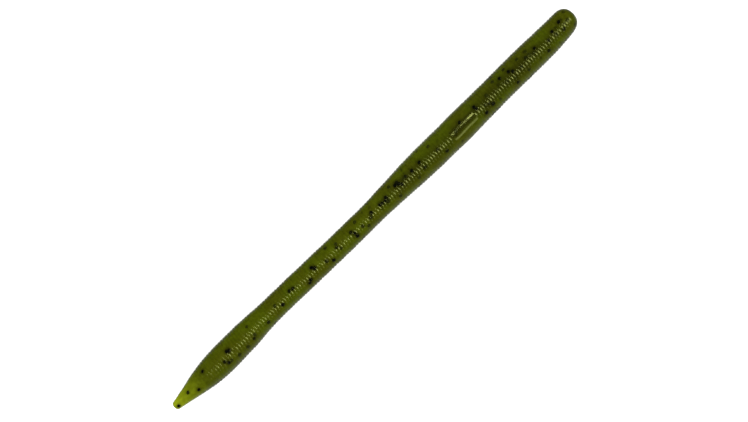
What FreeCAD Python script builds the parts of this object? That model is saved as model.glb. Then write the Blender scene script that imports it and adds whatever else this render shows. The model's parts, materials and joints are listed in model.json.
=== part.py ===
"""Soft plastic fishing worm: a straight finesse worm with a slim waist, a swollen tail and a collar.

The real worm is one piece of soft plastic that bends anywhere along its length, with black flakes cast
into it.  Here the soft body is cut into twelve stretches.  Each has a ball end that sits in a cup in its
neighbour, so the chain bends sideways and up and down as the soft plastic does.  The flakes of each
stretch are a group of thin hexagons, each in a pocket of its own.

Frame: +X runs from the tail to the nose, +Z is up, and the origin is on the resting plane, midway along.
"""
import FreeCAD, Part
import math
import os
import random

from FreeCAD import Vector

# ---- driving dimensions, in millimetres -------------------------------------------------------------

LENGTH = 165.1              # tail tip to nose: six and a half inches
COLLAR_RADIUS = 4.44        # the shoulder and collar, the thickest part
PADDLE_RADIUS = 4.36        # the swelling of the tail
WAIST_RADIUS = 3.52         # the slim stretch between the two
NECK_RADIUS = 4.30          # the slight dip in front of the collar
FRONT_RADIUS = 4.38         # the swelling behind the head
NOSE_RADIUS = 3.93          # where the rounded nose begins
NOSE_DEPTH = 4.4            # length of the rounded nose
NOSE_SLOPE = -0.05          # the front already narrows a little where the nose begins
TIP_RADIUS = 1.25           # the small round end of the tail
TIP_TAPER = math.radians(12.0)
BELLY_FLAT = 0.2            # depth of the narrow flat along the underside that the worm rests on
AXIS_Z = COLLAR_RADIUS - BELLY_FLAT

# The ball ends and cups between the stretches.
BALL_INSET = 0.1            # the ball's radius is this much less than the body's
CUP_CLEARANCE = 0.4         # the cup's radius is this much more than the body's

# The black flakes.
FLAKE_ACROSS = 0.9          # corner to corner
FLAKE_THICKNESS = 0.08
FLAKE_COVER = 0.15          # least plastic over a flake
FLAKE_REACH = 2.4           # the deepest flakes lie about this far under the skin
FLAKE_GAP = 0.12            # least plastic between two flakes
FLAKE_TILT = math.radians(20.0)
FLAKES_PER_MM_TAIL = 1.1
FLAKES_PER_MM_HEAD = 3.0
FLAKE_SEED = 7

# Stretches from the tail to the nose, each with the distance from the tail tip at which it ends.
STRETCHES = [
    ("tail_tip", 16.1),
    ("tail_paddle", 29.6),
    ("tail_neck", 43.1),
    ("rear_waist", 56.1),
    ("middle_waist", 69.6),
    ("front_waist", 83.6),
    ("rear_shoulder", 97.6),
    ("front_shoulder", 111.6),
    ("collar", 129.4),
    ("front_body", 141.0),
    ("neck", 152.2),
    ("head", LENGTH),
]
ROOT = "front_waist"        # the balls point away from this stretch, towards the tail and the nose


def along(distance):
    """X coordinate of a point that lies this far from the tail tip."""
    return distance - LENGTH / 2.0


def on_axis(distance):
    """Point on the body's axis, this far from the tail tip."""
    return Vector(along(distance), 0, AXIS_Z)


def body_curve():
    """Smooth upper outline, from the end of the rounded tail tip to the start of the rounded nose."""
    tip_end = TIP_RADIUS * (1.0 - math.sin(TIP_TAPER))
    stations = [
        (tip_end, TIP_RADIUS * math.cos(TIP_TAPER)),
        (7.4, 2.64),
        (14.4, 3.96),
        (21.5, PADDLE_RADIUS),
        (31.5, 4.10),
        (39.5, 3.60),
        (48.0, 3.55),
        (60.0, WAIST_RADIUS),
        (72.0, WAIST_RADIUS),
        (83.0, WAIST_RADIUS),
        (93.0, 3.98),
        (106.0, COLLAR_RADIUS),
        (115.0, COLLAR_RADIUS),
        (124.0, COLLAR_RADIUS),
        (132.0, NECK_RADIUS),
        (144.0, FRONT_RADIUS),
        (154.0, 4.24),
        (LENGTH - NOSE_DEPTH, NOSE_RADIUS),
    ]
    curve = Part.BSplineCurve()
    curve.interpolate(
        Points=[on_axis(distance) + Vector(0, 0, radius) for distance, radius in stations],
        InitialTangent=Vector(math.cos(TIP_TAPER), 0, math.sin(TIP_TAPER)),
        FinalTangent=Vector(1, 0, NOSE_SLOPE),
    )
    return curve


def make_body(curve):
    """The whole body as one solid of revolution, with the narrow flat along its underside."""
    tail_end = on_axis(0.0)
    nose_end = on_axis(LENGTH)
    middle = (3.0 * math.pi / 2.0 + TIP_TAPER) / 2.0
    tip_middle = on_axis(TIP_RADIUS) + Vector(math.cos(middle), 0, math.sin(middle)) * TIP_RADIUS
    tip_arc = Part.Arc(tail_end, tip_middle, curve.StartPoint)
    nose_ellipse = Part.Ellipse(nose_end, curve.EndPoint, on_axis(LENGTH - NOSE_DEPTH))
    nose_arc = Part.ArcOfEllipse(nose_ellipse, 0.0, math.pi / 2.0)
    wire = Part.Wire([
        tip_arc.toShape(),
        curve.toShape(),
        nose_arc.toShape(),
        Part.makeLine(nose_end, tail_end),
    ])
    solid = Part.Face(wire).revolve(tail_end, Vector(1, 0, 0), 360)
    return above_plane(solid)


def above_plane(shape):
    """The part of a shape that lies above the resting plane."""
    box = shape.BoundBox
    room = Part.makeBox(box.XLength + 2, box.YLength + 2, box.ZMax + 1,
                        Vector(box.XMin - 1, box.YMin - 1, 0))
    return shape.common(room)


def radius_at(curve, distance):
    """Radius of the body at this distance from the tail tip, read from the outline."""
    x = along(distance)
    past_curve = x - curve.EndPoint.x
    if past_curve >= 0:
        depth = min(1.0, past_curve / NOSE_DEPTH)
        return NOSE_RADIUS * math.sqrt(1.0 - depth * depth)
    low, high = curve.FirstParameter, curve.LastParameter
    for _ in range(40):
        middle = (low + high) / 2.0
        if curve.value(middle).x < x:
            low = middle
        else:
            high = middle
    return curve.value(low).z - AXIS_Z


def cup_radius(curve, distance):
    """Radius of the cup around the ball at this distance from the tail tip."""
    return radius_at(curve, distance) + CUP_CLEARANCE


def make_stretch(body, curve, start, end, ball_ends, cup_ends):
    """One stretch of the body between two distances, with its ball ends and cups."""
    room = 4 * COLLAR_RADIUS
    slab = Part.makeBox(end - start, room, room, Vector(along(start), -room / 2, AXIS_Z - room / 2))
    solid = body.common(slab)
    for distance in ball_ends:
        ball = Part.makeSphere(radius_at(curve, distance) - BALL_INSET, on_axis(distance))
        solid = solid.fuse(above_plane(ball))
    for distance in cup_ends:
        solid = solid.cut(Part.makeSphere(cup_radius(curve, distance), on_axis(distance)))
    return solid


def make_flake(centre, normal, turn):
    """One thin hexagonal flake, lying square to the given normal and turned about it by some degrees."""
    corners = [
        Vector(math.cos(k * math.pi / 3), math.sin(k * math.pi / 3), 0) * (FLAKE_ACROSS / 2.0)
        for k in range(6)
    ]
    flake = Part.Face(Part.makePolygon(corners + corners[:1])).extrude(Vector(0, 0, FLAKE_THICKNESS))
    flake.translate(Vector(0, 0, -FLAKE_THICKNESS / 2.0))
    flake.rotate(Vector(), Vector(0, 0, 1), turn)
    lying = FreeCAD.Placement(centre, FreeCAD.Rotation(Vector(0, 0, 1), normal))
    flake.Placement = lying.multiply(flake.Placement)
    return flake


def flakes_per_mm(distance):
    """Number of flakes in a millimetre of length: they lie closer together towards the head."""
    return FLAKES_PER_MM_TAIL + (FLAKES_PER_MM_HEAD - FLAKES_PER_MM_TAIL) * distance / LENGTH


def scatter_flakes(curve, start, end, cup_ends, rng):
    """Flakes inside one stretch, clear of its skin, its ends, its cups and each other."""
    reach = FLAKE_ACROSS / 2.0
    margin = reach + FLAKE_COVER
    count = round(flakes_per_mm((start + end) / 2.0) * (end - start))
    centres = []
    flakes = []
    while len(flakes) < count:
        distance = rng.uniform(start + margin, end - margin)
        around = rng.uniform(0, 2 * math.pi)
        tilt = rng.uniform(-FLAKE_TILT, FLAKE_TILT)
        turn = rng.uniform(0, 60)
        depth = FLAKE_COVER + FLAKE_THICKNESS + reach * math.sin(abs(tilt))
        depth += FLAKE_REACH * rng.random() ** 2
        off_axis = radius_at(curve, distance) - depth
        outward = Vector(0, math.sin(around), math.cos(around))
        centre = on_axis(distance) + outward * off_axis
        if off_axis < reach or centre.z < margin:
            continue
        if any(centre.distanceToPoint(other) < FLAKE_ACROSS + FLAKE_GAP for other in centres):
            continue
        if any(centre.distanceToPoint(on_axis(cup)) < cup_radius(curve, cup) + margin for cup in cup_ends):
            continue
        normal = outward * math.cos(tilt) + Vector(math.sin(tilt), 0, 0)
        centres.append(centre)
        flakes.append(make_flake(centre, normal, turn))
    return Part.makeCompound(flakes)


def main():
    """Build each stretch and its flakes, and write one STEP for each."""
    os.makedirs("parts", exist_ok=True)
    rng = random.Random(FLAKE_SEED)
    curve = body_curve()
    body = make_body(curve)
    root = [name for name, _ in STRETCHES].index(ROOT)
    last = len(STRETCHES) - 1
    start = 0.0
    for index, (name, end) in enumerate(STRETCHES):
        tail_joint = [start] if index > 0 else []
        nose_joint = [end] if index < last else []
        balls = (tail_joint if index <= root else []) + (nose_joint if index >= root else [])
        cups = (tail_joint if index > root else []) + (nose_joint if index < root else [])
        flakes = scatter_flakes(curve, start, end, cups, rng)
        stretch = make_stretch(body, curve, start, end, balls, cups).cut(flakes)
        stretch.exportStep("parts/%s.step" % name)
        flakes.exportStep("parts/%s_flakes.step" % name)
        print("%-15s %5.1f to %5.1f mm  %6.1f mm3  %d flakes"
              % (name, start, end, stretch.Volume, len(flakes.Solids)))
        start = end


main()
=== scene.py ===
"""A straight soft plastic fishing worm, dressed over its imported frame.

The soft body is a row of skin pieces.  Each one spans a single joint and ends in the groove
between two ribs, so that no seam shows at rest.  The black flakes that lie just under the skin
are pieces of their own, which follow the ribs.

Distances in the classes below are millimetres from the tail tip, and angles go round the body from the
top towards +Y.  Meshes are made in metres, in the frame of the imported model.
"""
import json
import logging
import math
import random
from collections.abc import Iterator, Sequence
from dataclasses import dataclass, field
from enum import Enum

import bpy
import numpy as np
from mathutils import Matrix, Vector

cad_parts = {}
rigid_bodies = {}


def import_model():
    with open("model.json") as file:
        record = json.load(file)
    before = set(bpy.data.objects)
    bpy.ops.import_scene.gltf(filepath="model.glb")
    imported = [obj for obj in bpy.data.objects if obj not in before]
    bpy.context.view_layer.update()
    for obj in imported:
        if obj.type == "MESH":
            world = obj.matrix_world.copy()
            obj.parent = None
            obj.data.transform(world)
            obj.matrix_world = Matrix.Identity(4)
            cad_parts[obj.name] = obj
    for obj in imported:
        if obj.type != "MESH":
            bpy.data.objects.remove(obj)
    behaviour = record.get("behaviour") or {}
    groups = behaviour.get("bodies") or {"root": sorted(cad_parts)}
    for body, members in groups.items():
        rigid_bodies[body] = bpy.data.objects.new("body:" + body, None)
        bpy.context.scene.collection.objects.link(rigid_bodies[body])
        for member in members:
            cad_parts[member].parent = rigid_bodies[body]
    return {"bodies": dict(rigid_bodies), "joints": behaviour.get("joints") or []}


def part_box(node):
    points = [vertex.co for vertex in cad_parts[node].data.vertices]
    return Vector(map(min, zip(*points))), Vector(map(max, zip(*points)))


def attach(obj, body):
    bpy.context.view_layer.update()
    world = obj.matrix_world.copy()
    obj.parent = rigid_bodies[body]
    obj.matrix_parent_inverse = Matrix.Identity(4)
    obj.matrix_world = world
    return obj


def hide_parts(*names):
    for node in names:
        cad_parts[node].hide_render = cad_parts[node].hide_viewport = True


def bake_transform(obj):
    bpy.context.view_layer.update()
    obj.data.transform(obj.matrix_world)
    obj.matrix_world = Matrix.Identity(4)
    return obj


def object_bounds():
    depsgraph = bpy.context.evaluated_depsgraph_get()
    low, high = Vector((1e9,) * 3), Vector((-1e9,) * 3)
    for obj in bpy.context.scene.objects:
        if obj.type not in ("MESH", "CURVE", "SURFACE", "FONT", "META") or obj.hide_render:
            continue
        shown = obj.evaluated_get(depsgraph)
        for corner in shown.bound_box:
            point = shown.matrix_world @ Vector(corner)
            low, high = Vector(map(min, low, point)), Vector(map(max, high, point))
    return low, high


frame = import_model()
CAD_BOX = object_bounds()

MM = 0.001              # a millimetre in metres
SAME_PLACE = 1e-4       # distances closer than this, in millimetres, are one place
LAMPLIGHT = 1.65        # how much the lamps and the surroundings brighten a matt surface
WHITE = (1.0, 1.0, 1.0, 1.0)
GLOSS_TINT = (0.9, 1.0, 0.3, 1.0)
MOST_OF_NOISE = (0.3, 0.7)      # nearly all of a noise's values lie between these
Pair = tuple[float, float]
Colour = tuple[float, float, float, float]
Socket = bpy.types.NodeSocket
log = logging.getLogger("worm")


class Slot(Enum):
    """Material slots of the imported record."""

    PLASTIC = "soft_plastic"
    FLAKE = "black_flake"


class Mark(Enum):
    """Values stored at the vertices, for the materials to read."""

    REST = "rest_mm"
    ALONG = "along"
    GROOVE = "groove"
    COVER = "cover"
    # painted shade round the flakes, down the back and on the collar
    PAINTED_SHADE = "halo"


class Tint(Enum):
    """Colours of the plastic, the flakes and the table as they look under the lamps, from 0 to 255."""

    # painted glow: light shining through the thin tail tip and taper
    TIP = (149, 162, 19)
    TAPER = (108, 119, 8)
    PADDLE = (70, 78, 4)
    WAIST = (69, 77, 3)
    SHOULDER = (69, 78, 4)
    FRONT = (66, 74, 5)
    OLIVE_BROWN = (61, 61, 4)
    LEAF_GREEN = (67, 80, 2)
    DEEP_FLAKE = (22, 24, 3)
    # painted shade round the flakes, down the back and on the collar
    PAINTED_SHADE = (33, 33, 3)
    BLACK = (7, 8, 5)
    SMOKE = (42, 47, 4)
    TABLE = (250, 250, 248)
    TABLE_MOTTLE = (245, 245, 243)

    def linear(self, light: float = LAMPLIGHT) -> Colour:
        """The colour as linear light with full alpha, taken down by the strength of the lamps."""
        return tuple(screen_to_linear(v / 255.0) / light for v in self.value) + (1.0,)


def screen_to_linear(value: float) -> float:
    """Turn one screen colour value from 0 to 1 into linear light.

    Args:
        value: the value as a screen shows it.

    Returns:
        The same value in linear light.
    """
    if value <= 0.04045:
        return value / 12.92
    return ((value + 0.055) / 1.055) ** 2.4


class SmoothLine:
    """A smooth line through a few points, with a set slope at each end."""

    def __init__(self, points: Sequence[Pair], first_slope: float, last_slope: float) -> None:
        """Work out how much the line bends at each point.

        Args:
            points: place and value of each point, in order.
            first_slope: slope of the line at the first point.
            last_slope: slope of the line at the last point.
        """
        self.places = np.array([place for place, _ in points])
        self.values = np.array([value for _, value in points])
        self.gaps = np.diff(self.places)
        slopes = np.diff(self.values) / self.gaps
        count = len(points)
        matrix = np.zeros((count, count))
        right = np.zeros(count)
        matrix[0, :2] = 2 * self.gaps[0], self.gaps[0]
        right[0] = 6 * (slopes[0] - first_slope)
        matrix[-1, -2:] = self.gaps[-1], 2 * self.gaps[-1]
        right[-1] = 6 * (last_slope - slopes[-1])
        for i in range(1, count - 1):
            matrix[i, i - 1:i + 2] = self.gaps[i - 1], 2 * (self.gaps[i - 1] + self.gaps[i]), self.gaps[i]
            right[i] = 6 * (slopes[i] - slopes[i - 1])
        self.bends = np.linalg.solve(matrix, right)

    def at(self, places: np.ndarray) -> np.ndarray:
        """Read the line at some places.

        Args:
            places: where to read it; places past the ends continue the end curves.

        Returns:
            The line's value at each place.
        """
        i = np.clip(np.searchsorted(self.places, places) - 1, 0, len(self.gaps) - 1)
        gap = self.gaps[i]
        before = (self.places[i + 1] - places) / gap
        after = 1.0 - before
        bend = (before ** 3 - before) * self.bends[i] + (after ** 3 - after) * self.bends[i + 1]
        return before * self.values[i] + after * self.values[i + 1] + bend * gap * gap / 6.0


@dataclass
class Outline:
    """The plain shape of the body before its ribs: its thickness and the slight wander of its axis.

    Each swell is a distance from the tail tip and the radius there.  Each entry of wander is a distance
    and how far the axis lies off the middle line, towards +Y.
    """

    length: float
    axis_height: float
    tip_radius: float = 1.4
    tip_taper: float = math.radians(10.0)
    tip_depth: float = 0.95
    nose_radius: float = 3.93
    nose_depth: float = 4.4
    nose_slope: float = -0.05
    fullness: float = 2.5
    swells: tuple[Pair, ...] = (
        (7.4, 2.64), (14.4, 3.96), (21.5, 4.36), (31.5, 4.10), (39.5, 3.62), (48.0, 3.58),
        (60.0, 3.56), (72.0, 3.54), (83.0, 3.54), (93.0, 4.0), (106.0, 4.48), (113.4, 4.475),
        (119.0, 4.505), (124.0, 4.44), (132.0, 4.34), (144.0, 4.38), (154.0, 4.24),
    )
    wander: tuple[Pair, ...] = (
        (0.0, -0.12), (10.0, -0.07), (20.0, -0.02), (30.0, 0.15), (41.0, 0.27), (54.0, 0.09),
        (66.0, -0.1), (75.0, -0.17), (94.0, -0.04), (115.0, -0.14), (130.0, 0.01), (145.0, 0.08),
        (158.0, 0.12), (165.1, 0.42),
    )
    thickness: SmoothLine = field(init=False)
    drift: SmoothLine = field(init=False)

    def __post_init__(self) -> None:
        """Lay the smooth lines through the swells and the wander."""
        tip_point = (self.tip_end, self.tip_radius * math.cos(self.tip_taper))
        nose_point = (self.nose_start, self.nose_radius)
        points = [tip_point, *self.swells, nose_point]
        self.thickness = SmoothLine(points, math.tan(self.tip_taper), self.nose_slope)
        self.drift = SmoothLine(self.wander, 0.0, 0.0)

    @property
    def tip_end(self) -> float:
        """Where the round end of the tail runs into its taper."""
        return self.tip_radius * (1.0 - math.sin(self.tip_taper))

    @property
    def nose_start(self) -> float:
        """Where the rounded nose begins."""
        return self.length - self.nose_depth

    def radius(self, distance: np.ndarray) -> np.ndarray:
        """Radius of the body over the crests of its ribs.

        Args:
            distance: distances from the tail tip.

        Returns:
            The radius at each distance.
        """
        past_tip = np.maximum(0.0, self.tip_end - distance)
        past_nose = np.maximum(0.0, distance - self.nose_start)
        body = self.thickness.at(np.clip(distance, self.tip_end, self.nose_start))
        body = body - math.tan(self.tip_taper) * past_tip + self.nose_slope * past_nose
        tip = self.rounding(distance / self.tip_depth)
        nose = self.rounding((self.length - distance) / self.nose_depth)
        return body * tip * nose

    def rounding(self, share: np.ndarray) -> np.ndarray:
        """How full a rounded end is, from nothing at its very end to 1 where the body begins."""
        left = 1.0 - np.clip(share, 0.0, 1.0)
        return (1.0 - left ** self.fullness) ** (1.0 / self.fullness)


@dataclass
class Ribs:
    """The fine rings moulded round the body, and the smooth collar that interrupts them.

    The grooves fade at each end: tail_fade and nose_fade hold the share of the full depth in the end
    groove, and the distance inwards in which that share would grow by one.
    """

    first: float = 10.1
    collar_start: float = 113.4
    collar_end: float = 123.95
    last: float = 162.7
    rear_count: int = 104
    front_count: int = 39
    depth: float = 0.12
    shoulder: float = 0.5
    roundness: float = 2.0
    unevenness: float = 0.35
    tail_fade: Pair = (0.35, 8.0)
    nose_fade: Pair = (0.3, 4.0)
    seed: int = 11
    grooves: np.ndarray = field(init=False)
    depths: np.ndarray = field(init=False)

    def __post_init__(self) -> None:
        """Place the grooves and give each its own slightly uneven depth, fading at both ends."""
        rear = np.linspace(self.first, self.collar_start, self.rear_count + 1)
        front = np.linspace(self.collar_end, self.last, self.front_count + 1)
        self.grooves = np.concatenate([rear, front])
        rng = random.Random(self.seed)
        uneven = np.array([1.0 + rng.uniform(-1, 1) * self.unevenness for _ in self.grooves])
        self.depths = self.depth * uneven
        for (least, reach), inwards in ((self.tail_fade, self.grooves - self.first),
                                        (self.nose_fade, self.last - self.grooves)):
            self.depths = self.depths * np.clip(least + inwards / reach, 0.0, 1.0)

    def relief(self, distance: np.ndarray) -> np.ndarray:
        """How far the surface lies below the crests.

        Args:
            distance: distances from the tail tip.

        Returns:
            The depth at each distance, nothing on a crest or the collar.
        """
        after = np.clip(np.searchsorted(self.grooves, distance), 1, len(self.grooves) - 1)
        to_before = np.abs(distance - self.grooves[after - 1])
        to_after = np.abs(self.grooves[after] - distance)
        nearest = np.where(to_before < to_after, after - 1, after)
        away = np.minimum(to_before, to_after) / self.shoulder
        return self.depths[nearest] * np.clip(1.0 - away, 0.0, 1.0) ** self.roundness

    def nearest_groove(self, distance: float) -> float:
        """The groove closest to a distance, where two skin pieces can meet unseen."""
        return float(self.grooves[np.argmin(np.abs(self.grooves - distance))])


@dataclass
class Lumps:
    """The slight unevenness of a soft moulding, as a sum of slow waves along and round the body."""

    height: float = 0.011
    waves: int = 18
    longest: float = 14.0
    shortest: float = 1.7
    fewest_turns: int = 2
    waves_per_turn: int = 3
    seed: int = 5
    parts: list[tuple[float, float, int, float]] = field(init=False)

    def __post_init__(self) -> None:
        """Draw the waves: height, wave number along the body, turns round it and phase."""
        rng = random.Random(self.seed)
        self.parts = []
        for i in range(self.waves):
            share = i / (self.waves - 1)
            wavelength = self.longest * (self.shortest / self.longest) ** share
            turns = rng.randint(0, self.fewest_turns + i // self.waves_per_turn)
            height = self.height * wavelength / self.longest
            self.parts.append((height, 2 * math.pi / wavelength, turns, rng.uniform(0, 2 * math.pi)))

    def at(self, distance: np.ndarray, angle: np.ndarray) -> np.ndarray:
        """Height of the unevenness.

        Args:
            distance: distances from the tail tip.
            angle: angles round the body, in radians.

        Returns:
            How far the surface stands proud of a true one at each point.
        """
        total = np.zeros(np.broadcast(distance, angle).shape)
        for height, number, turns, phase in self.parts:
            total += height * np.cos(number * distance + turns * angle + phase)
        return total


@dataclass
class MouldedSurface:
    """The finished surface of the worm as points: outline, ribs, unevenness, parting line and belly."""

    outline: Outline
    ribs: Ribs
    lumps: Lumps
    crest: float = 0.06
    full_radius: float = 3.0
    parting_height: float = 0.05
    parting_width: float = 0.11
    belly_height: float = 0.025
    belly_softness: float = 0.12

    def points(self, distance: np.ndarray, angle: np.ndarray, lift: float = 0.0) -> np.ndarray:
        """Points on the surface, in millimetres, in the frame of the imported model.

        Args:
            distance: distances from the tail tip.
            angle: angles round the body, in radians.
            lift: how far over the surface the points lie.

        Returns:
            One row of x, y and z for each point.
        """
        radius = self.outline.radius(distance)
        swell = np.clip(radius / self.full_radius, 0.0, 1.0)
        extra = self.crest + self.lumps.at(distance, angle) + self.parting(angle, radius)
        radius = radius - self.ribs.relief(distance) + swell * extra
        y = self.outline.drift.at(distance) + radius * np.sin(angle)
        z = self.outline.axis_height + radius * np.cos(angle)
        z = self.settle(z)
        x = distance - self.outline.length / 2.0
        return np.stack([x + np.zeros_like(z), y + lift * np.sin(angle), z + lift * np.cos(angle)], axis=-1)

    def parting(self, angle: np.ndarray, radius: np.ndarray) -> np.ndarray:
        """The thin raised line down each side, where the two halves of the mould met."""
        off_line = np.abs(np.cos(angle)) * radius
        return self.parting_height * np.exp(-((off_line / self.parting_width) ** 2))

    def settle(self, height: np.ndarray) -> np.ndarray:
        """Press the underside flat where it would go through the table.

        Args:
            height: heights over the table.

        Returns:
            The heights after the worm has settled.
        """
        over = (height - self.belly_height) / self.belly_softness
        pressed = self.belly_height + self.belly_softness * np.exp(np.minimum(over - 1.0, 0.0))
        return np.where(over < 1.0, pressed, height)


@dataclass(frozen=True)
class Stretch:
    """One piece of the soft body: where it starts and ends, and what it follows."""

    name: str
    start: float
    end: float
    bodies: tuple[str, ...]
    bend: Pair | None
    stands_for: str | None


@dataclass
class BodyPlan:
    """Divides the body into stretches, each across one joint, that meet in grooves between ribs."""

    surface: MouldedSurface
    joints: list[dict]
    longest_half_bend: float = 7.0
    collar_reach: float = 1.0

    def ordered_joints(self) -> list[tuple[float, str, str]]:
        """Read the joints from the frame and sort them from tail to nose.

        Returns:
            Distance from the tail tip, tail-side body and nose-side body of each joint.
        """
        half = self.surface.outline.length / 2.0
        places = [(joint["pos_m"][0] / MM + half, joint["parent"], joint["child"]) for joint in self.joints]
        middles = {name: sum(self.reach(name)) for name in frame["bodies"]}
        return sorted((place, *sorted(pair, key=middles.get)) for place, *pair in places)

    def reach(self, node: str) -> Pair:
        """Measure where a CAD node starts and ends.

        Args:
            node: name of the node.

        Returns:
            Both ends, as distances from the tail tip.
        """
        low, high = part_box(node)
        half = self.surface.outline.length / 2.0
        return low.x / MM + half, high.x / MM + half

    def seams(self) -> list[float]:
        """Choose where the skin pieces meet, once inside each CAD stretch.

        Returns:
            Distances of the seams from the tail tip, in order.
        """
        places = [place for place, _, _ in self.ordered_joints()]
        ribs = self.surface.ribs
        ends = [2 * places[0] - (places[0] + places[1]) / 2.0]
        ends += [(a + b) / 2.0 for a, b in zip(places, places[1:])]
        ends += [places[-1] + min(self.longest_half_bend, places[-1] - ends[-1])]
        low, high = ribs.collar_start - self.collar_reach, ribs.collar_end + self.collar_reach
        seams = [ribs.nearest_groove(end) for end in ends]
        return [ribs.collar_end if low < seam < high else seam for seam in seams]

    def stretches(self) -> list[Stretch]:
        """Lay out the skin pieces: the tail end, one across each joint, and the nose end.

        Returns:
            The stretches, from tail to nose.
        """
        joints = self.ordered_joints()
        seams = self.seams()
        found = [Stretch("tail_end", 0.0, seams[0], (joints[0][1],), None, joints[0][1])]
        for (place, tail_side, nose_side), start, end in zip(joints, seams, seams[1:]):
            half = min(place - start, end - place, self.longest_half_bend)
            bend = (place - half, place + half)
            found.append(Stretch(nose_side, start, end, (tail_side, nose_side), bend, nose_side))
        length = self.surface.outline.length
        found.append(Stretch("nose_end", seams[-1], length, (joints[-1][2],), None, None))
        return found


@dataclass
class PieceMaker:
    """Turns points and faces into Blender pieces, and ties each piece that spans no joint to its body."""

    surface: MouldedSurface

    def make(self, name: str, points: np.ndarray, faces: list[tuple[int, ...]]) -> bpy.types.Object:
        """Make a smooth-shaded mesh object.

        Args:
            name: name of the piece.
            points: its vertices, in millimetres.
            faces: vertex numbers of each face.

        Returns:
            The new object, linked into the scene.
        """
        mesh = bpy.data.meshes.new(name)
        mesh.from_pydata((points * MM).tolist(), [], faces)
        mesh.shade_smooth()
        mesh.update()
        self.note(mesh, Mark.REST, points)
        piece = bpy.data.objects.new(name, mesh)
        bpy.context.scene.collection.objects.link(piece)
        return piece

    def note(self, mesh: bpy.types.Mesh, mark: Mark, values: np.ndarray) -> None:
        """Store a number or a vector at each vertex.

        Args:
            mesh: the mesh to write on.
            mark: what the values say.
            values: one number or one row of three for each vertex.
        """
        kind, part = ("FLOAT_VECTOR", "vector") if values.ndim == 2 else ("FLOAT", "value")
        attribute = mesh.attributes.new(mark.value, kind, "POINT")
        attribute.data.foreach_set(part, values.astype(np.float32).ravel())

    def crease(self, mesh: bpy.types.Mesh, ring_of: np.ndarray, sharp_rings: np.ndarray) -> None:
        """Mark the edges that run round some rings as sharp.

        Args:
            mesh: the mesh to mark.
            ring_of: number of the ring that each vertex belongs to.
            sharp_rings: True for each ring whose edges are sharp.
        """
        ends = np.zeros(len(mesh.edges) * 2, dtype=np.int32)
        mesh.edges.foreach_get("vertices", ends)
        rings = ring_of[ends.reshape(-1, 2)]
        sharp = (rings[:, 0] == rings[:, 1]) & sharp_rings[rings[:, 0]]
        attribute = mesh.attributes.new("sharp_edge", "BOOLEAN", "EDGE")
        attribute.data.foreach_set("value", sharp)

    def place(self, piece: bpy.types.Object, stretch: Stretch, slot: Slot, node: str | None) -> None:
        """Tie a piece that spans no joint to its body, and hide the CAD node that it stands for.

        Args:
            piece: the finished piece.
            stretch: the stretch of the body that it belongs to.
            slot: not used.
            node: the CAD node that it stands for, if any.
        """
        outline = self.surface.outline
        if stretch.bend is None:
            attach(piece, stretch.bodies[0])
        else:
            start, end = (
                Vector(((place - outline.length / 2.0) * MM, 0.0, outline.axis_height * MM))
                for place in stretch.bend
            )
            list(stretch.bodies)
            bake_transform(piece)
            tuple(start)
            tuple(end)
        if node is not None:
            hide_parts(node)


@dataclass(frozen=True)
class Flake:
    """One black flake: where it lies, how it is turned, how much plastic covers it and how it sits."""

    distance: float
    angle: float
    turn: float
    squeeze: float
    size: float
    cover: float
    proud: float


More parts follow.
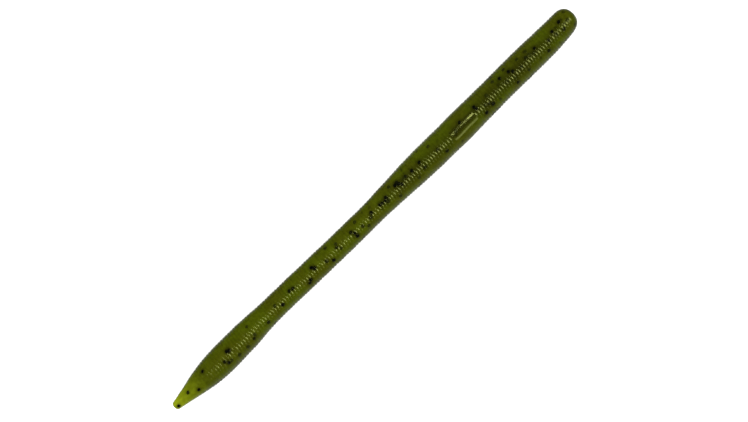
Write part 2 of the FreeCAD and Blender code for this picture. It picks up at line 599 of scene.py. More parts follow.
@dataclass
class Skin:
    """The soft body itself, with every rib as real geometry.

    Each entry of the back's shade table is a distance from the tail tip and how dark painted shade makes the
    middle of the back there; it partly stands for a haze of deep flakes.
    The window is a painted strip of shade along the top of the collar.
    """

    maker: PieceMaker
    around: int = 96
    beside_parting: float = math.radians(1.1)
    smooth_step: float = 0.35
    widest_rib: float = 1.7
    end_rings: int = 14
    # reach and cutoff of the painted shade round each flake
    shade_reach: float = 0.95
    shade_cutoff: float = 3.0
    cover_fade: float = 0.7
    # painted shade down the middle of the back, partly a haze of deep flakes
    back_shade: tuple[Pair, ...] = (
        (82.0, 0.0), (94.0, 0.64), (113.0, 0.62), (125.0, 0.66), (136.0, 0.78), (146.0, 0.78),
        (153.0, 0.62), (160.0, 0.3), (165.0, 0.1),
    )
    core_turn: float = math.radians(-2.0)
    core_spread: float = math.radians(34.0)
    # painted strip of shade along the top of the collar
    window_shade: float = 0.85
    window_edge: Pair = (math.radians(13.0), math.radians(21.0))
    window_fade: float = 0.5
    rib_steps: tuple[float, ...] = (0.0, 0.1, 0.22, 0.36, 0.5, 0.64, 0.78, 0.9)

    def angles(self) -> np.ndarray:
        """Place the vertices round a ring, closer together beside the parting lines.

        Returns:
            Their angles, in order.
        """
        even = np.arange(self.around) * 2 * math.pi / self.around
        steps = (-self.beside_parting, self.beside_parting)
        extra = [side + step for side in (math.pi / 2, 3 * math.pi / 2) for step in steps]
        return np.sort(np.concatenate([even, extra]))

    def ring_places(self, start: float, end: float) -> np.ndarray:
        """Distances of the rings of one stretch, with the same ring at each seam.

        Args:
            start: where the stretch starts.
            end: where it ends.

        Returns:
            The distances in order.
        """
        outline = self.maker.surface.outline
        grooves = self.maker.surface.ribs.grooves
        marks = [0.0, *grooves, outline.length]
        places = [start]
        for low, high in zip(marks, marks[1:]):
            if high <= start or low >= end:
                continue
            places.extend(self.between(low, high, outline))
        places.append(end)
        inside = np.unique(np.round(places, 6))
        return inside[(inside >= start - SAME_PLACE) & (inside <= end + SAME_PLACE)]

    def between(self, low: float, high: float, outline: Outline) -> Iterator[float]:
        """Ring places from one groove to the next, or over a smooth part of the body.

        Args:
            low: the groove or end on the tail side.
            high: the groove or end on the nose side.
            outline: the plain shape of the body.

        Yields:
            Distances from the tail tip.
        """
        if high - low < self.widest_rib:
            yield from (low + (high - low) * step for step in self.rib_steps)
            return
        yield from np.arange(low, high, self.smooth_step)
        for k in range(1, self.end_rings + 1):
            turn = math.pi / 2 * k / self.end_rings
            if low == 0.0:
                yield outline.tip_depth * (1.0 - math.cos(turn))
            if high == outline.length:
                yield outline.length - outline.nose_depth * (1.0 - math.sin(turn))

    def halo(self, distance: np.ndarray, angle: np.ndarray, flakes: list[Flake]) -> np.ndarray:
        """How much painted shade darkens the plastic: the shade that each flake casts round itself inside
        the clear plastic, with the painted shade down the back and on the collar.

        Args:
            distance: distances from the tail tip.
            angle: angles round the body, in radians.
            flakes: every flake of the worm.

        Returns:
            A share from 0 to 1 at each point.
        """
        clear = np.ones(len(distance))
        radius = self.maker.surface.outline.radius(distance)
        for flake in flakes:
            near = np.abs(distance - flake.distance) < self.shade_cutoff * self.shade_reach
            if not near.any():
                continue
            turn = np.angle(np.exp(1j * (angle[near] - flake.angle)))
            away = np.hypot(distance[near] - flake.distance, turn * radius[near]) / self.shade_reach
            clear[near] *= 1.0 - (1.0 - self.cover_fade * flake.cover) * np.exp(-(away ** 2))
        return 1.0 - clear * (1.0 - self.painted_back_shade(distance, angle))

    def painted_back_shade(self, distance: np.ndarray, angle: np.ndarray) -> np.ndarray:
        """Painted shade down the middle of the back, partly a haze of deep flakes, and a painted strip of
        shade along the top of the collar.

        Args:
            distance: distances from the tail tip.
            angle: angles round the body, in radians.

        Returns:
            A share from 0 to 1 at each point.
        """
        turn = np.angle(np.exp(1j * angle))
        dark = np.interp(distance, *zip(*self.back_shade))
        back = np.exp(-(((turn - self.core_turn) / self.core_spread) ** 2))
        ribs = self.maker.surface.ribs
        from_ends = np.minimum(distance - ribs.collar_start, ribs.collar_end - distance)
        inside = np.clip(from_ends / self.window_fade, 0.0, 1.0)
        inner, outer = self.window_edge
        window = inside * np.clip((outer - np.abs(turn)) / (outer - inner), 0.0, 1.0)
        return np.maximum(dark * back, self.window_shade * window)

    def build(self, stretch: Stretch, flakes: list[Flake], finish: "SoftPlastic") -> bpy.types.Object:
        """Make the skin of one stretch as a closed piece.

        Args:
            stretch: the stretch to make.
            flakes: every flake of the worm, for the darker plastic around them.
            finish: the plastic's material.

        Returns:
            The finished piece.
        """
        surface = self.maker.surface
        rings = self.ring_places(stretch.start, stretch.end)
        pole_start, pole_end = stretch.start <= 0.0, stretch.end >= surface.outline.length
        rings = rings[int(pole_start):len(rings) - int(pole_end)]
        angles = self.angles()
        distance, angle = (grid.ravel() for grid in np.meshgrid(rings, angles, indexing="ij"))
        points = surface.points(distance, angle)
        middles = np.array([self.middle(stretch.start, rings[0], points[:len(angles)]),
                            self.middle(stretch.end, rings[-1], points[-len(angles):])])
        points = np.vstack([points, middles])
        faces = self.faces(len(rings), len(angles))
        piece = self.maker.make(f"skin_{stretch.name}", points, faces)
        mesh = piece.data
        ring_of = np.repeat(np.arange(len(rings)), len(angles))
        ring_of = np.concatenate([ring_of, [len(rings), len(rings) + 1]])
        grooves = surface.ribs.grooves
        sharp = np.abs(rings[:, None] - grooves[None, :]).min(axis=1) < SAME_PLACE
        self.maker.crease(mesh, ring_of, np.concatenate([sharp, [False, False]]))
        every = np.concatenate([distance, [stretch.start, stretch.end]])
        self.maker.note(mesh, Mark.ALONG, every / surface.outline.length)
        self.maker.note(mesh, Mark.GROOVE, surface.ribs.relief(every) / surface.ribs.depth)
        # Painted shade round the flakes, down the back and on the collar.
        halo = np.append(self.halo(distance, angle, flakes), [0.0, 0.0])
        self.maker.note(mesh, Mark.PAINTED_SHADE, halo)
        mesh.materials.append(finish.material)
        self.maker.place(piece, stretch, Slot.PLASTIC, stretch.stands_for)
        return piece

    def middle(self, end: float, ring: float, points: np.ndarray) -> np.ndarray:
        """Find the point that closes an end: the pole of a round end, or the middle of a seam.

        Args:
            end: where the piece ends.
            ring: where its last ring lies.
            points: the points of that ring.

        Returns:
            The point.
        """
        centre = points.mean(axis=0)
        centre[0] += end - ring
        return centre

    def faces(self, ring_count: int, around: int) -> list[tuple[int, ...]]:
        """Quads between the rings and a fan over each end.

        Args:
            ring_count: number of rings.
            around: number of vertices in a ring.

        Returns:
            Vertex numbers of each face, facing outwards.
        """
        rows = np.arange(ring_count - 1)[:, None] * around
        here = np.arange(around)[None, :]
        beyond = (here + 1) % around
        quads = np.stack([rows + here, rows + beyond, rows + around + beyond, rows + around + here], axis=-1)
        first_pole = ring_count * around
        last_row = (ring_count - 1) * around
        fans = [(first_pole, (k + 1) % around, k) for k in range(around)]
        fans += [(first_pole + 1, last_row + k, last_row + (k + 1) % around) for k in range(around)]
        return [tuple(face) for face in quads.reshape(-1, 4).tolist()] + fans


@dataclass
class Flakes:
    """The hexagonal black flakes that lie against the skin, denser towards the head.

    Each entry of black, dark and dim is one flake that shows from above: how far from the tail tip it is
    seen, and how far off the middle line, towards +Y.  The others lie on the flanks and the underside, at
    angles within the pair flanks, which is in half turns from the top.
    """

    maker: PieceMaker
    across: float = 0.9
    proud: Pair = (0.010, 0.022)
    sunk: float = 0.06
    squeezes: Pair = (0.78, 1.0)
    sizes: Pair = (1.2, 1.5)
    black_cover: Pair = (0.0, 0.1)
    dark_cover: Pair = (0.3, 0.6)
    dim_cover: Pair = (0.75, 0.95)
    black: tuple[Pair, ...] = (
        (1.2, -0.72), (8.8, -1.38), (13.3, 1.62), (20.7, -1.94), (22.5, 0.85), (23.2, 0.55),
        (44.0, -0.91), (49.4, 0.4), (54.2, -1.95), (55.0, -1.45), (57.6, 0.95), (58.2, 0.2),
        (63.9, -2.06), (73.9, -0.75), (73.9, -1.85), (81.5, 0.15), (85.0, 0.05), (85.8, -0.1),
        (87.0, -0.2), (87.7, 0.3), (92.2, 0.97), (93.3, 0.5), (93.9, -0.2), (98.7, 0.55),
        (102.0, 0.85), (118.7, 0.9), (124.9, 1.15), (125.1, 0.35), (126.5, -2.6), (129.7, -2.06),
        (136.2, 1.9), (139.5, 1.45), (140.5, 0.65), (149.8, 1.0), (156.9, 0.88), (160.3, 1.55),
    )
    dark: tuple[Pair, ...] = (
        (5.9, 0.2), (19.9, -0.94), (31.0, -2.1), (37.4, -1.62), (48.1, 0.65), (62.2, -0.8),
        (67.1, 0.0), (73.2, 0.24), (80.5, -0.75), (87.5, -0.8), (93.0, 1.25), (96.2, 0.72),
        (102.3, -1.36), (108.5, -0.3), (110.3, -2.5), (116.2, -0.15), (127.9, -0.74), (129.0, -1.18),
        (137.1, -0.44), (139.4, -2.7), (143.2, -0.24), (146.0, 0.85), (152.4, -2.45), (154.4, -0.24),
        (157.3, -0.55), (160.0, -0.95),
    )
    dim: tuple[Pair, ...] = (
        (21.8, -2.05), (24.6, -2.5), (28.0, -2.5), (31.9, -1.4), (31.8, 1.9), (42.0, 0.5),
        (64.5, 2.2), (67.6, 0.95), (67.9, -1.1), (76.1, 1.6), (77.0, -0.9), (78.4, -2.06),
        (90.5, 1.9), (91.3, -2.3), (95.3, 0.6), (99.0, -2.3), (107.1, 2.36), (129.9, 1.03),
        (134.0, 2.65), (138.8, 2.95), (139.8, -1.2), (143.7, 2.36), (144.3, -2.36), (147.2, 2.2),
        (147.4, 0.74), (148.8, 0.15), (162.5, 0.15), (163.3, -2.2),
    )
    sight_height: float = 612.0
    widest_share: float = 0.95
    flanks: Pair = (0.41, 1.59)
    tail_density: float = 0.3
    head_density: float = 1.5
    thickest: float = 4.5
    cover_power: float = 0.8
    spacing: float = 1.0
    end_margin: float = 2.5
    rings: int = 4
    seed: int = 23

    def scatter(self) -> list[Flake]:
        """Lay out every flake: those that show from above, then the rest of the way round at random.

        Returns:
            The flakes, from the tail to the nose.
        """
        rng = random.Random(self.seed)
        outline = self.maker.surface.outline
        found: list[Flake] = []
        for places, covers in ((self.black, self.black_cover), (self.dark, self.dark_cover),
                               (self.dim, self.dim_cover)):
            for noted, across in places:
                distance, angle = self.on_surface(noted, across)
                found.append(self.lay(rng, distance, angle, rng.uniform(*covers)))
        count = len(found) + round((self.tail_density + self.head_density) / 2.0 * outline.length)
        while len(found) < count:
            flake = self.draw(rng, outline.length)
            radius = float(outline.radius(np.array([flake.distance]))[0])
            kept = rng.random() < radius / self.thickest
            if kept and all(self.apart(flake, other, radius) for other in found):
                found.append(flake)
        return sorted(found, key=lambda flake: flake.distance)

    def on_surface(self, noted: float, across: float) -> Pair:
        """Place on the surface of a flake seen from above, by an eye over the middle of the worm.

        Args:
            noted: how far from the tail tip the flake is seen.
            across: how far it is from the middle line, towards +Y.

        Returns:
            Its true distance from the tail tip and its angle round the body in radians.
        """
        outline = self.maker.surface.outline
        place = np.array([noted])
        radius = float(outline.radius(place)[0])
        share = (across - float(outline.drift.at(place)[0])) / radius
        angle = math.asin(max(-self.widest_share, min(self.widest_share, share)))
        middle = outline.length / 2.0
        nearer = 1.0 - radius * math.cos(angle) / self.sight_height
        return middle + (noted - middle) * nearer, angle

    def lay(self, rng: random.Random, distance: float, angle: float, cover: float) -> Flake:
        """Make a flake at a place, turned and sized at random.

        Args:
            rng: the source of random numbers.
            distance: how far the flake is from the tail tip.
            angle: its angle round the body.
            cover: how much plastic covers it.

        Returns:
            The flake.
        """
        return Flake(distance, angle, rng.uniform(0, math.pi / 3), rng.uniform(*self.squeezes),
                     rng.uniform(*self.sizes), cover, rng.uniform(*self.proud))

    def draw(self, rng: random.Random, length: float) -> Flake:
        """Draw one of the flakes on the flanks and the underside.

        Args:
            rng: the source of random numbers.
            length: length of the worm.

        Returns:
            The flake.
        """
        share = self.tail_density / (self.tail_density + self.head_density)
        place = rng.random()
        lean = 1.0 - 2.0 * share
        along = (-share + math.sqrt(share * share + place * lean)) / lean
        distance = self.end_margin + along * (length - 2 * self.end_margin)
        angle = rng.uniform(*self.flanks) * math.pi
        return self.lay(rng, distance, angle, rng.random() ** self.cover_power)

    def apart(self, one: Flake, other: Flake, radius: float) -> bool:
        """True if two flakes keep their distance on the surface."""
        round_body = math.remainder(one.angle - other.angle, 2 * math.pi) * radius
        return math.hypot(one.distance - other.distance, round_body) > self.spacing

    def hexagon(self) -> tuple[np.ndarray, list[tuple[int, ...]], list[int]]:
        """A hexagon of unit half-width, divided finely enough to follow the ribs.

        Returns:
            Its points, its triangles and the numbers of its rim points in order.
        """
        points = [(0.0, 0.0)]
        for ring in range(1, self.rings + 1):
            for k in range(6 * ring):
                side, step = divmod(k, ring)
                one, two = (math.radians(60 * (side + turn)) for turn in (0, 1))
                share = step / ring
                points.append(tuple(
                    ring / self.rings * ((1 - share) * wave(one) + share * wave(two))
                    for wave in (math.cos, math.sin)
                ))
        starts = [0] + [1 + 3 * ring * (ring - 1) for ring in range(1, self.rings + 1)]
        triangles = []
        for ring in range(1, self.rings + 1):
            outer, inner = 6 * ring, max(1, 6 * (ring - 1))
            for k in range(outer):
                side, step = divmod(k, ring)
                here, beyond = starts[ring] + k, starts[ring] + (k + 1) % outer
                near = starts[ring - 1] + (side * (ring - 1) + step) % inner
                triangles.append((here, beyond, near))
                if step < ring - 1:
                    nearer = starts[ring - 1] + (side * (ring - 1) + step + 1) % inner
                    triangles.append((beyond, nearer, near))
        rim = [starts[self.rings] + k for k in range(6 * self.rings)]
        return np.array(points), triangles, rim

    def build(self, stretch: Stretch, flakes: list[Flake], finish: "FlakeFoil") -> bpy.types.Object:
        """Make the flakes of one stretch as one piece of separate closed hexagons.

        Args:
            stretch: the stretch that they lie in.
            flakes: every flake of the worm.
            finish: the flakes' material.

        Returns:
            The finished piece.
        """
        outline_points, triangles, rim = self.hexagon()
        own = [flake for flake in flakes if stretch.start <= flake.distance < stretch.end]
        per_flake = 2 * len(outline_points)
        points, covers, faces = [], [], []
        for flake in own:
            points.append(self.flake_points(flake, outline_points))
            covers.append(np.full(per_flake, flake.cover))
            faces += self.flake_faces(len(points) - 1, len(outline_points), triangles, rim)
        piece = self.maker.make(f"flakes_{stretch.name}", np.vstack(points), faces)
        self.maker.note(piece.data, Mark.COVER, np.concatenate(covers))
        piece.data.materials.append(finish.material)
        node = f"{stretch.stands_for}_flakes" if stretch.stands_for else None
        self.maker.place(piece, stretch, Slot.FLAKE, node)
        return piece

    def flake_points(self, flake: Flake, outline_points: np.ndarray) -> np.ndarray:
        """Points of one flake laid on the surface: its face, then its underside.

        Args:
            flake: the flake to lay.
            outline_points: points of the unit hexagon.

        Returns:
            The points in millimetres.
        """
        flat = outline_points * np.array([1.0, flake.squeeze]) * (self.across * flake.size / 2.0)
        cos, sin = math.cos(flake.turn), math.sin(flake.turn)
        forward = flat[:, 0] * cos - flat[:, 1] * sin
        sideways = flat[:, 0] * sin + flat[:, 1] * cos
        surface = self.maker.surface
        radius = surface.outline.radius(np.array([flake.distance]))[0]
        distance = flake.distance + forward
        angle = flake.angle + sideways / radius
        face = surface.points(distance, angle, flake.proud)
        under = surface.points(distance, angle, -self.sunk)
        return np.vstack([face, under])

    def flake_faces(self, index: int, count: int, triangles: list[tuple[int, ...]],
                    rim: list[int]) -> list[tuple[int, ...]]:
        """Faces of one flake: its face, its underside and the wall between them.

        Args:
            index: number of the flake in its piece.
            count: number of points in the unit hexagon.
            triangles: triangles of the unit hexagon.
            rim: numbers of its rim points in order.

        Returns:
            Vertex numbers of each face, facing outwards.
        """
        base = index * 2 * count
        top = [tuple(base + v for v in face) for face in triangles]
        bottom = [tuple(base + count + v for v in reversed(face)) for face in triangles]
        wall = [(base + b, base + a, base + count + a, base + count + b)
                for a, b in zip(rim, rim[1:] + rim[:1])]
        return top + bottom + wall


class Bench:
    """Adds and joins the nodes of one material, or of the surroundings."""

    def __init__(self, owner: bpy.types.Material | bpy.types.World) -> None:
        """Start with no nodes.

        Args:
            owner: the material or world that the nodes belong to.
        """
        owner.use_nodes = True
        self.tree = owner.node_tree
        self.tree.nodes.clear()

    def new(self, kind: str) -> bpy.types.Node:
        """Add a node of a kind, such as Math."""
        return self.tree.nodes.new(f"ShaderNode{kind}")

    def fill(self, node: bpy.types.Node, inputs: dict[str | int, object]) -> bpy.types.bpy_prop_collection:
        """Join a node's inputs to other nodes, or set them to plain values.

        Args:
            node: the node to fill.
            inputs: an output, a tint or a plain value for each input, by its name or number.

        Returns:
            The node's outputs.
        """
        for key, value in inputs.items():
            if isinstance(value, Socket):
                self.tree.links.new(value, node.inputs[key])
            else:
                node.inputs[key].default_value = value.linear() if isinstance(value, Tint) else value
        return node.outputs

    def read(self, mark: Mark, output: str = "Fac") -> Socket:
        """Read a value that is stored at the vertices.

        Args:
            mark: which value.
            output: Fac for a number or Vector for a vector.

        Returns:
            The value.
        """
        node = self.new("Attribute")
        node.attribute_name = mark.value
        return node.outputs[output]

    def noise(self, place: Socket, scale: float, detail: float) -> Socket:
        """Soft noise over the piece, about 0.5 on average."""
        return self.fill(self.new("TexNoise"), {"Vector": place, "Scale": scale, "Detail": detail})["Fac"]

    def cells(self, place: Socket, scale: float) -> tuple[Socket, Socket]:
        """Scatter points through the piece.

        Args:
            place: position on the piece.
            scale: how close together the points lie.

        Returns:
            Distance to the nearest point, and a random value that belongs to it.
        """
        found = self.fill(self.new("TexVoronoi"), {"Vector": place, "Scale": scale})
        return found["Distance"], self.fill(self.new("SeparateColor"), {"Color": found["Color"]})["Red"]

    def ramp(self, factor: Socket, stops: Sequence[tuple[float, Tint]]) -> Socket:
        """Colours along a factor.

        Args:
            factor: value from 0 to 1.
            stops: place and colour of each stop.

        Returns:
            The colour.
        """
        node = self.new("ValToRGB")
        elements = node.color_ramp.elements
        while len(elements) < len(stops):
            elements.new(0.5)
        for element, (place, tint) in zip(elements, stops):
            element.position = place
            element.color = tint.linear()
        return self.fill(node, {"Fac": factor})["Color"]

    def span(self, value: Socket, ends: Pair, to: Pair = (0.0, 1.0)) -> Socket:
        """Stretch a value softly from one span to another, held at its ends.

        Args:
            value: the value.
            ends: where the stretch begins and ends.
            to: what it gives at each end.

        Returns:
            The stretched value.
        """
        node = self.new("MapRange")
        node.interpolation_type = "SMOOTHSTEP"
        return self.fill(node, {"Value": value, "From Min": ends[0], "From Max": ends[1],
                                "To Min": to[0], "To Max": to[1]})["Result"]

    def product(self, one: Socket, two: Socket) -> Socket:
        """One value times another.

        Args:
            one: the first value.
            two: the second value.

        Returns:
            The product.
        """
        node = self.new("Math")
        node.operation = "MULTIPLY"
        return self.fill(node, {0: one, 1: two})[0]

    def mix(self, factor: object, one: object, two: object, blend: str = "MIX") -> Socket:
        """Mix two colours.

        Args:
            factor: share of the second colour, as a socket or a number.
            one: the first colour.
            two: the second colour.
            blend: name of the Mix node's blend type.

        Returns:
            The mixed colour.
        """
        node = self.new("Mix")
        node.data_type = "RGBA"
        node.blend_type = blend
        return self.fill(node, {"Factor": factor, "A": one, "B": two})["Result"]

    def dim(self, colour: Socket, light: Socket) -> Socket:
        """A colour made lighter or darker by a value."""
        grey = self.fill(self.new("CombineColor"), {0: light, 1: light, 2: light})["Color"]
        return self.mix(1.0, colour, grey, "MULTIPLY")

    def bump(self, height: Socket, distance: float, strength: float) -> Socket:
        """A normal that follows a height in metres."""
        inputs = {"Height": height, "Distance": distance, "Strength": strength}
        return self.fill(self.new("Bump"), inputs)["Normal"]

    def shade(self, colour: Socket, roughness: object, specular: float,
              tint: Colour = WHITE) -> bpy.types.Node:
        """Add the material's shader.

        Args:
            colour: the base colour.
            roughness: how dull the gloss is, as a socket or a number.
            specular: how strong the gloss is.
            tint: colour of the gloss.

        Returns:
            The shader.
        """
        shader = self.new("BsdfPrincipled")
        surface = self.fill(shader, {"Base Color": colour, "Roughness": roughness})["BSDF"]
        shader.inputs["Specular IOR Level"].default_value = specular
        shader.inputs["Specular Tint"].default_value = tint
        self.fill(self.new("OutputMaterial"), {"Surface": surface})
        return shader


@dataclass
class SoftPlastic:
    """Glossy, slightly oily soft plastic, clearer where it is thin, with a painted glow there of light
    shining through, painted shade round its flakes, down its back and in its grooves, and dim flakes deep
    inside.
    """

    roughness: Pair = (0.13, 0.17)
    specular: float = 0.5
    # The tip and taper stops are a painted glow of light shining through the thin tail.
    body: tuple[tuple[float, Tint], ...] = (
        (0.0, Tint.TIP), (0.035, Tint.TAPER), (0.075, Tint.PADDLE), (0.4, Tint.WAIST),
        (0.62, Tint.SHOULDER), (0.8, Tint.FRONT), (1.0, Tint.PADDLE),
    )
    patch_scale: float = 0.16
    patch_detail: float = 1.5
    patch_edge: Pair = (0.35, 0.65)
    cloud_ends: Pair = (0.03, 0.14)
    cloud_share: Pair = (0.05, 0.45)
    mottle_scale: float = 0.9
    mottle_detail: float = 4.0
    mottle_light: Pair = (0.86, 1.14)
    grain_scale: float = 5.0
    grain_detail: float = 3.0
    grain_height: float = 0.02
    grain_strength: float = 0.2
    deep_flakes_per_mm: float = 0.42
    deep_flake_edge: Pair = (0.08, 0.34)
    deep_flake_chance: Pair = (0.35, 0.75)
    deep_flake_ends: Pair = (0.2, 0.9)
    deep_flake_share: Pair = (0.2, 0.75)
    # strength of the painted shade round the flakes, down the back and on the collar
    shade_strength: float = 0.85
    # painted shade in the grooves
    groove_shade: float = 0.965
    material: bpy.types.Material = field(init=False)

    def __post_init__(self) -> None:
        """Build the material."""
        self.material = bpy.data.materials.new("worm_soft_plastic")
        bench = Bench(self.material)
        place = bench.read(Mark.REST, "Vector")
        film = bench.noise(place, self.mottle_scale, self.mottle_detail)
        roughness = bench.span(film, MOST_OF_NOISE, self.roughness)
        shader = bench.shade(self.colour(bench, place), roughness, self.specular, GLOSS_TINT)
        grain = bench.noise(place, self.grain_scale, self.grain_detail)
        bench.fill(shader, {"Normal": bench.bump(grain, self.grain_height * MM, self.grain_strength)})

    def colour(self, bench: Bench, place: Socket) -> Socket:
        """The plastic's colour: painted glow of light through the thin tip, olive body, cloudy patches, deep
        flakes, painted shade round the flakes and down the back, and painted shade in the grooves.

        Args:
            bench: the bench that holds the material.
            place: position on the worm at rest, in millimetres.

        Returns:
            The colour.
        """
        along = bench.read(Mark.ALONG)
        patches = bench.span(bench.noise(place, self.patch_scale, self.patch_detail), self.patch_edge)
        cloud = bench.mix(patches, Tint.OLIVE_BROWN, Tint.LEAF_GREEN)
        share = bench.span(along, self.cloud_ends, self.cloud_share)
        colour = bench.mix(share, bench.ramp(along, self.body), cloud)
        mottle = bench.noise(place, self.mottle_scale, self.mottle_detail)
        colour = bench.dim(colour, bench.span(mottle, MOST_OF_NOISE, self.mottle_light))
        colour = bench.mix(self.deep_flakes(bench, place, along), colour, Tint.DEEP_FLAKE)
        # Painted shade round the flakes, down the back and on the collar.
        halo = bench.span(bench.read(Mark.PAINTED_SHADE), (0.0, 1.0), (0.0, self.shade_strength))
        colour = bench.mix(halo, colour, Tint.PAINTED_SHADE)
        # Painted shade in the grooves.
        return bench.dim(colour, bench.span(bench.read(Mark.GROOVE), (0.0, 1.0), (1.0, self.groove_shade)))

    def deep_flakes(self, bench: Bench, place: Socket, along: Socket) -> Socket:
        """Dim spots of the flakes that lie too deep to be pieces, more of them towards the head.

        Args:
            bench: the bench that holds the material.
            place: position on the worm at rest, in millimetres.
            along: share of the way from tail to nose.

        Returns:
            How much of a spot shows, from 0 to 1.
        """
        near, chance = bench.cells(place, self.deep_flakes_per_mm)
        spot = bench.span(near, self.deep_flake_edge, (1.0, 0.0))
        chosen = bench.product(spot, bench.span(chance, self.deep_flake_chance))
        return bench.product(chosen, bench.span(along, self.deep_flake_ends, self.deep_flake_share))


@dataclass
class FlakeFoil:
    """Black foil seen through a thin cover of green plastic."""

    roughness: Pair = (0.19, 0.29)
    specular: float = 0.3
    film_detail: float = 2.0
    speckle_scale: float = 3.5
    speckle_detail: float = 3.0
    speckle_light: Pair = (0.7, 1.3)
    cover_ends: Pair = (0.1, 1.0)
    thickest_veil: float = 0.85
    material: bpy.types.Material = field(init=False)

    def __post_init__(self) -> None:
        """Build the material."""
        self.material = bpy.data.materials.new("black_foil_flake")
        bench = Bench(self.material)
        place = bench.read(Mark.REST, "Vector")
        veil = bench.span(bench.read(Mark.COVER), self.cover_ends, (0.0, self.thickest_veil))
        colour = bench.mix(veil, Tint.BLACK, Tint.SMOKE)
        speckle = bench.noise(place, self.speckle_scale, self.speckle_detail)
        colour = bench.dim(colour, bench.span(speckle, MOST_OF_NOISE, self.speckle_light))
        film = bench.noise(place, self.speckle_scale, self.film_detail)
        roughness = bench.span(film, MOST_OF_NOISE, self.roughness)
        bench.shade(colour, roughness, self.specular, GLOSS_TINT)


@dataclass
class TableFinish:
    """A plain pale table top with the faintest mottle."""

    roughness: float = 0.9
    specular: float = 0.1
    mottle_scale: float = 14.0
    mottle_detail: float = 4.0
    material: bpy.types.Material = field(init=False)

    def __post_init__(self) -> None:
        """Build the material."""
        self.material = bpy.data.materials.new("pale_table")
        bench = Bench(self.material)
        place = bench.new("TexCoord").outputs["Object"]
        mottle = bench.span(bench.noise(place, self.mottle_scale, self.mottle_detail), MOST_OF_NOISE)
        colour = bench.mix(mottle, Tint.TABLE.linear(1.0), Tint.TABLE_MOTTLE.linear(1.0))
        bench.shade(colour, self.roughness, self.specular)


@dataclass(frozen=True)
class Lamp:
    """One soft lamp: where it hangs, its size along and across the worm, and what it lights."""

    name: str
    place: tuple[float, float, float]
    along: float
    across: float
    power: float
    in_gloss: bool
    in_shade: bool

    def hang(self, target: Vector) -> None:
        """Add the lamp to the scene, facing a point.

        Args:
            target: the point that it faces.
        """
        data = bpy.data.lights.new(self.name, "AREA")
        data.shape = "RECTANGLE"
        data.size, data.size_y = self.along, self.across
        data.energy = self.power
        lamp = bpy.data.objects.new(self.name, data)
        away = Vector(self.place).normalized()
        along = (Vector((1.0, 0.0, 0.0)) - away * away.x).normalized()
        lamp.location = target + Vector(self.place)
        lamp.rotation_euler = Matrix((along, away.cross(along), away)).transposed().to_euler()
        lamp.visible_glossy = self.in_gloss
        lamp.visible_diffuse = self.in_shade
        bpy.context.scene.collection.objects.link(lamp)


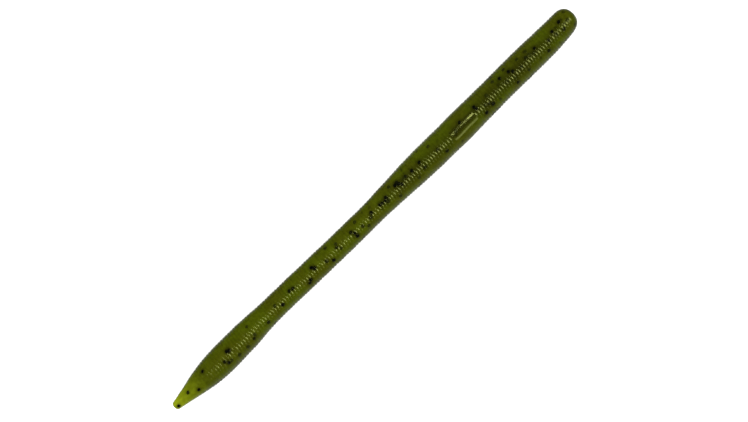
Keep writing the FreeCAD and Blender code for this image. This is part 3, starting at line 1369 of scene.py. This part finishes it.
@dataclass
class Studio:
    """The table, the soft light and the camera that looks straight down on the worm."""

    outline: Outline
    table_width: float = 6.0
    lens: float = 100.0
    sensor: float = 36.0
    view_width: float = 220.4
    roll: float = math.radians(-44.5)
    sideways: float = -0.01
    upward: float = -0.08
    surround: float = 1.05
    fill: float = 1.0
    gloss_above: float = 0.006
    gloss_below: float = 0.45
    gloss_side: tuple[float, float, float] = (0.0, -0.35, -0.94)
    gloss_full: float = 0.8
    lamps: tuple[Lamp, ...] = (
        Lamp("wide_overhead", (0.0, 0.0, 0.9), 1.4, 1.4, 15.0, in_gloss=False, in_shade=True),
        Lamp("rib_light", (0.36, -0.20, 0.58), 0.14, 0.24, 1.25, in_gloss=True, in_shade=False),
        Lamp("collar_light", (0.104, 0.028, 0.60), 0.025, 0.15, 0.28, in_gloss=True, in_shade=False),
        Lamp("head_light", (0.63, -0.22, 0.58), 0.16, 0.34, 1.0, in_gloss=True, in_shade=False),
        Lamp("side_strip", (0.080, -0.45, 0.41), 0.10, 0.15, 0.165, in_gloss=True, in_shade=False),
    )

    def set_table(self, finish: TableFinish) -> None:
        """Lay the table top under the worm.

        Args:
            finish: the table's material.
        """
        half = self.table_width / 2.0
        corners = [(-half, -half, 0), (half, -half, 0), (half, half, 0), (-half, half, 0)]
        mesh = bpy.data.meshes.new("table")
        mesh.from_pydata(corners, [], [(0, 1, 2, 3)])
        mesh.materials.append(finish.material)
        table = bpy.data.objects.new("table", mesh)
        bpy.context.scene.collection.objects.link(table)
        table.visible_glossy = False

    def light(self) -> None:
        """Hang the lamps and set the surroundings, pale to the eye and dim in the gloss."""
        target = Vector((0.0, 0.0, self.outline.axis_height * MM))
        for lamp in self.lamps:
            lamp.hang(target)
        world = bpy.data.worlds.new("surroundings")
        bpy.context.scene.world = world
        bench = Bench(world)
        side = bench.new("VectorMath")
        side.operation = "DOT_PRODUCT"
        seen = bench.new("TexCoord").outputs["Generated"]
        toward = bench.fill(side, {0: seen, 1: self.gloss_side})["Value"]
        reflected = {"Value": toward, "From Max": self.gloss_full,
                     "To Min": self.gloss_above, "To Max": self.gloss_below}
        gloss = bench.fill(bench.new("MapRange"), reflected)["Result"]
        rays = bench.new("LightPath").outputs
        in_gloss = {"Factor": rays["Is Glossy Ray"], "A": self.fill, "B": gloss}
        not_seen = bench.fill(bench.new("Mix"), in_gloss)["Result"]
        in_view = {"Factor": rays["Is Camera Ray"], "A": not_seen, "B": self.surround}
        strength = bench.fill(bench.new("Mix"), in_view)["Result"]
        glow = bench.fill(bench.new("Background"), {"Color": WHITE, "Strength": strength})
        bench.fill(bench.new("OutputWorld"), {"Surface": glow["Background"]})

    def aim_camera(self) -> None:
        """Put the camera straight over the worm, rolled so that the worm lies across the view."""
        data = bpy.data.cameras.new("camera")
        data.lens = self.lens
        data.sensor_width = self.sensor
        camera = bpy.data.objects.new("camera", data)
        height = self.view_width * MM * self.lens / self.sensor
        turn = Matrix.Rotation(self.roll, 4, "Z")
        camera.location = turn @ Vector((self.sideways * MM, self.upward * MM,
                                         self.outline.axis_height * MM + height))
        camera.rotation_euler = (0.0, 0.0, self.roll)
        bpy.context.scene.collection.objects.link(camera)
        bpy.context.scene.camera = camera
        bpy.context.scene.view_settings.view_transform = "Standard"


def measured_outline() -> Outline:
    """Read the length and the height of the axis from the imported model.

    Returns:
        The outline.
    """
    low, high = CAD_BOX
    half_width = (high.y - low.y) / 2.0
    return Outline(length=(high.x - low.x) / MM, axis_height=(high.z - half_width) / MM)


def main() -> None:
    """Build the worm from tail to nose, then the table, the light and the camera."""
    logging.basicConfig(level=logging.INFO, format="%(name)s: %(message)s")
    surface = MouldedSurface(measured_outline(), Ribs(), Lumps())
    maker = PieceMaker(surface)
    skin, flake_maker = Skin(maker), Flakes(maker)
    plastic, foil = SoftPlastic(), FlakeFoil()
    flakes = flake_maker.scatter()
    for stretch in BodyPlan(surface, frame["joints"]).stretches():
        piece = skin.build(stretch, flakes, plastic)
        specks = flake_maker.build(stretch, flakes, foil)
        log.info("%s: %d faces; %s: %d faces", piece.name, len(piece.data.polygons),
                 specks.name, len(specks.data.polygons))
    studio = Studio(surface.outline)
    studio.set_table(TableFinish())
    studio.light()
    studio.aim_camera()
    log.info("%d flakes on the skin", len(flakes))


if __name__ == "__main__":
    main()
